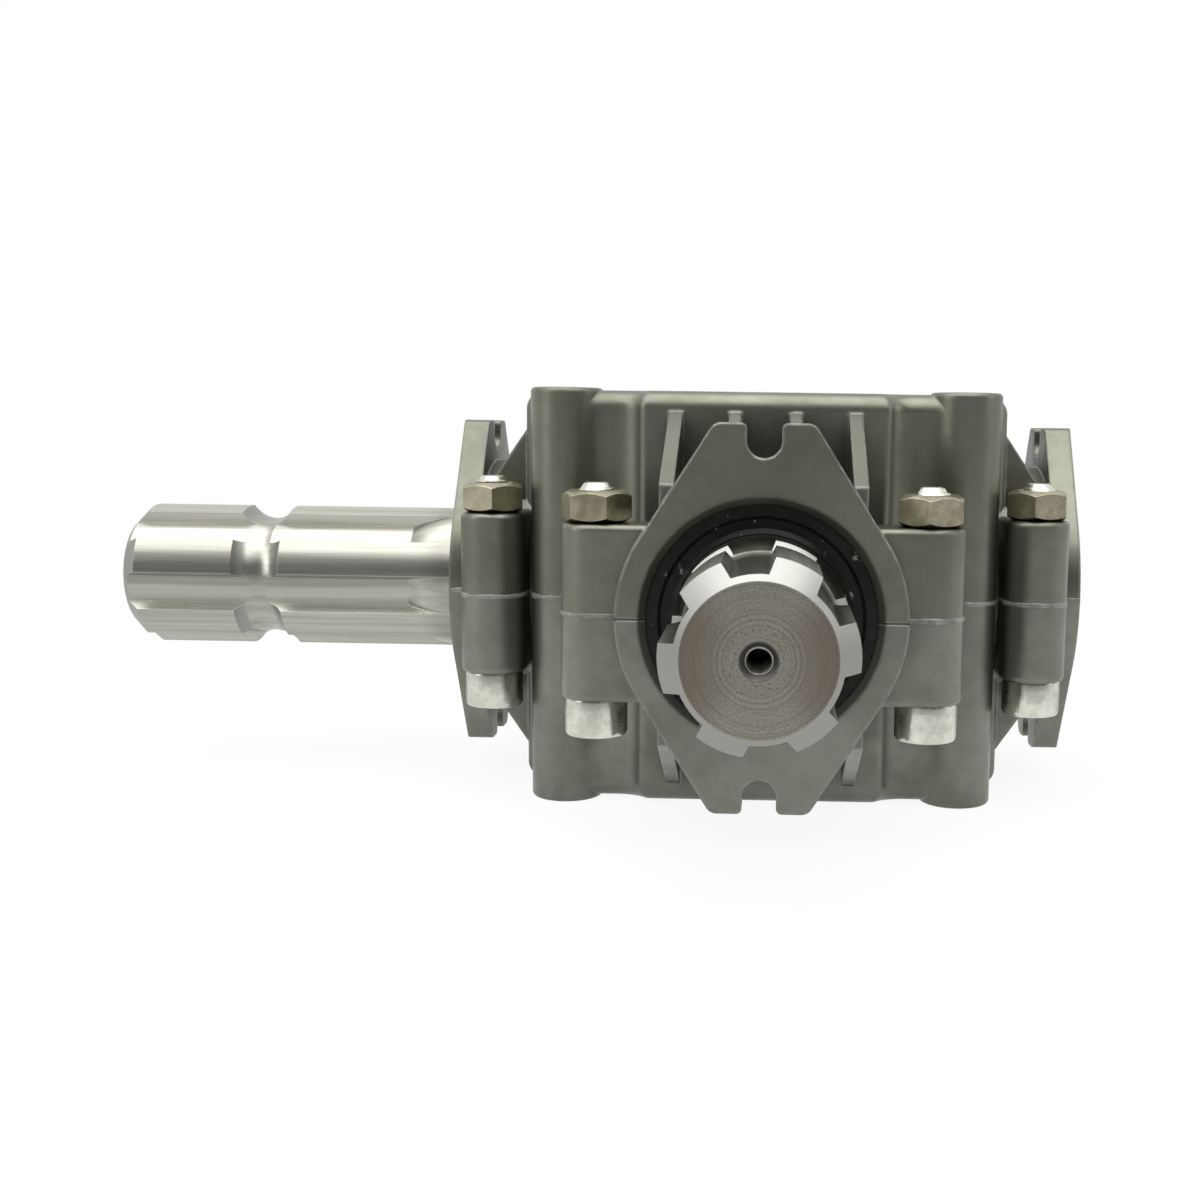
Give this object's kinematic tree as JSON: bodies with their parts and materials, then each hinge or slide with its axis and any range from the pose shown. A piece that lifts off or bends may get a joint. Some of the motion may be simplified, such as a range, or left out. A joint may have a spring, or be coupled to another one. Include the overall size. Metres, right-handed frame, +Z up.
{
  "type": "right angle gearbox",
  "caption": "T-shaped right angle bevel gearbox: split aluminium casing, two splined shafts, blanked third port and slotted flanges.",
  "frame": {"origin": "centre of the four foot bosses' rectangle, on the mounting face that they end in; the shaft axes cross 47 mm above it", "axes": "+Z up, square to the casing's split; the input shaft points along -Y and the output shaft along -X"},
  "size_m": [0.231, 0.1765, 0.094],
  "materials": {
    "cast_aluminium": "die-cast aluminium, blasted to a satin warm grey",
    "bright_zinc": "bright zinc-plated steel",
    "yellow_zinc": "dull yellowish zinc-plated steel",
    "soft_aluminium": "plain soft aluminium washer",
    "seal_rubber": "black moulded nitrile rubber",
    "turned_steel": "turned and milled bare steel",
    "gear_steel": "cut and hardened gear steel",
    "ground_steel": "ground steel",
    "spring_steel": "blackened spring steel",
    "bearing_steel": "ground and polished bearing steel",
    "cage_steel": "pressed steel"
  },
  "bodies": {
    "housing": {"lower_casing": "cast_aluminium", "upper_casing": "cast_aluminium", "casing_screws": "bright_zinc", "casing_nuts": "yellow_zinc", "dowel_pins": "ground_steel", "plug_washer": "soft_aluminium", "oil_plug": "bright_zinc", "input_seal": "seal_rubber", "output_seal": "seal_rubber", "port_cap": "seal_rubber", "front_bearing_outer_ring": "bearing_steel", "pinion_bearing_outer_ring": "bearing_steel", "left_bearing_outer_ring": "bearing_steel", "right_bearing_outer_ring": "bearing_steel"},
    "input_shaft": {"input_shaft": "turned_steel", "pinion": "gear_steel", "pinion_key": "ground_steel", "pinion_circlip": "spring_steel", "front_bearing_inner_ring": "bearing_steel", "pinion_bearing_inner_ring": "bearing_steel"},
    "output_shaft": {"output_shaft": "turned_steel", "crown_gear": "gear_steel", "gear_key": "ground_steel", "long_sleeve": "ground_steel", "short_sleeve": "ground_steel", "output_circlip": "spring_steel", "left_bearing_inner_ring": "bearing_steel", "right_bearing_inner_ring": "bearing_steel"},
    "front_bearing_cage": {"front_bearing_cage": "cage_steel", "front_bearing_balls": "bearing_steel"},
    "pinion_bearing_cage": {"pinion_bearing_cage": "cage_steel", "pinion_bearing_balls": "bearing_steel"},
    "left_bearing_cage": {"left_bearing_cage": "cage_steel", "left_bearing_balls": "bearing_steel"},
    "right_bearing_cage": {"right_bearing_cage": "cage_steel", "right_bearing_balls": "bearing_steel"}
  },
  "joints": [
    {"name": "output_spin", "type": "hinge", "parent": "housing", "child": "output_shaft", "pos_m": [0, 0, 0.047], "axis": [-1, 0, 0], "continuous": true},
    {"name": "input_spin", "type": "hinge", "parent": "housing", "child": "input_shaft", "pos_m": [0, 0, 0.047], "axis": [0, -1, 0], "continuous": true},
    {"name": "front_bearing_cage_spin", "type": "hinge", "parent": "housing", "child": "front_bearing_cage", "pos_m": [0, 0, 0.047], "axis": [0, -1, 0], "continuous": true},
    {"name": "pinion_bearing_cage_spin", "type": "hinge", "parent": "housing", "child": "pinion_bearing_cage", "pos_m": [0, 0, 0.047], "axis": [0, -1, 0], "continuous": true},
    {"name": "left_bearing_cage_spin", "type": "hinge", "parent": "housing", "child": "left_bearing_cage", "pos_m": [0, 0, 0.047], "axis": [-1, 0, 0], "continuous": true},
    {"name": "right_bearing_cage_spin", "type": "hinge", "parent": "housing", "child": "right_bearing_cage", "pos_m": [0, 0, 0.047], "axis": [-1, 0, 0], "continuous": true}
  ],
  "couplings": [
    {"joint": "input_spin", "follows": "output_spin", "ratio": 1},
    {"joint": "front_bearing_cage_spin", "follows": "output_spin", "ratio": 0.3974},
    {"joint": "pinion_bearing_cage_spin", "follows": "output_spin", "ratio": 0.3974},
    {"joint": "left_bearing_cage_spin", "follows": "output_spin", "ratio": 0.3974},
    {"joint": "right_bearing_cage_spin", "follows": "output_spin", "ratio": 0.3974}
  ]
}
